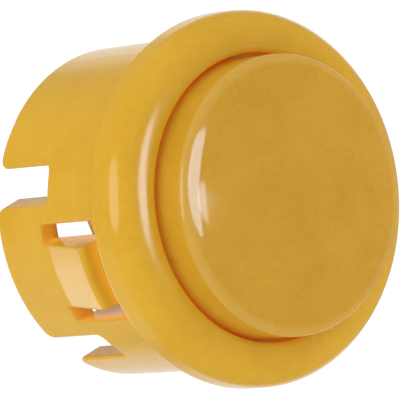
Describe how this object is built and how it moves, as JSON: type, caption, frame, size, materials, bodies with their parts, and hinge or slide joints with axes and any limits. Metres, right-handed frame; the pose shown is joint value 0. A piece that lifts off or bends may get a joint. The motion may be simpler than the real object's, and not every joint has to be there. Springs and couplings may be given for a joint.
{
  "type": "arcade push button",
  "caption": "Round snap-in push button with a crowned bezel, a domed sprung plunger, a notched barrel with spring tabs and a switch with blade terminals.",
  "frame": {"origin": "centre of the bezel flange's under face, where it sits on the panel", "axes": "+Z along the press axis out of the panel, the snap tabs on the X axis, the terminals in line along Y"},
  "size_m": [0.0336, 0.0336, 0.0296],
  "materials": {
    "yellow_plastic": "gloss",
    "cap_plastic": "gloss",
    "case_plastic": "satin",
    "slider_plastic": "satin",
    "spring_steel": "satin",
    "terminal_metal": "satin",
    "leaf_bronze": "satin",
    "contact_silver": "polished"
  },
  "bodies": {
    "body": {"housing": "yellow_plastic", "return_spring": "spring_steel", "switch_cover": "case_plastic", "switch_base": "case_plastic", "slider_spring": "spring_steel", "common_terminal": "terminal_metal", "open_terminal": "terminal_metal", "fixed_contact": "contact_silver"},
    "plunger": {"plunger": "cap_plastic"},
    "slider": {"switch_slider": "slider_plastic"},
    "leaf": {"contact_leaf": "leaf_bronze", "moving_contact": "contact_silver"}
  },
  "joints": [
    {"name": "plunger_press", "type": "slide", "parent": "body", "child": "plunger", "axis": [0, 0, -1], "range_m": [0, 0.003], "stiffness_N_per_m": 180, "springref_m": -0.004, "deforming": ["return_spring"]},
    {"name": "slider_press", "type": "slide", "parent": "body", "child": "slider", "axis": [0, 0, -1], "range_m": [0, 0.003], "deforming": ["slider_spring"]},
    {"name": "leaf_swing", "type": "hinge", "parent": "body", "child": "leaf", "pos_m": [0.00175, -0.00545, -0.0105], "axis": [0, 0, -1], "range_deg": [0, 3]}
  ],
  "couplings": [
    {"joint": "slider_press", "follows": "plunger_press", "ratio": 1},
    {"joint": "leaf_swing", "follows": "plunger_press", "rad_per_m": 17.45}
  ]
}
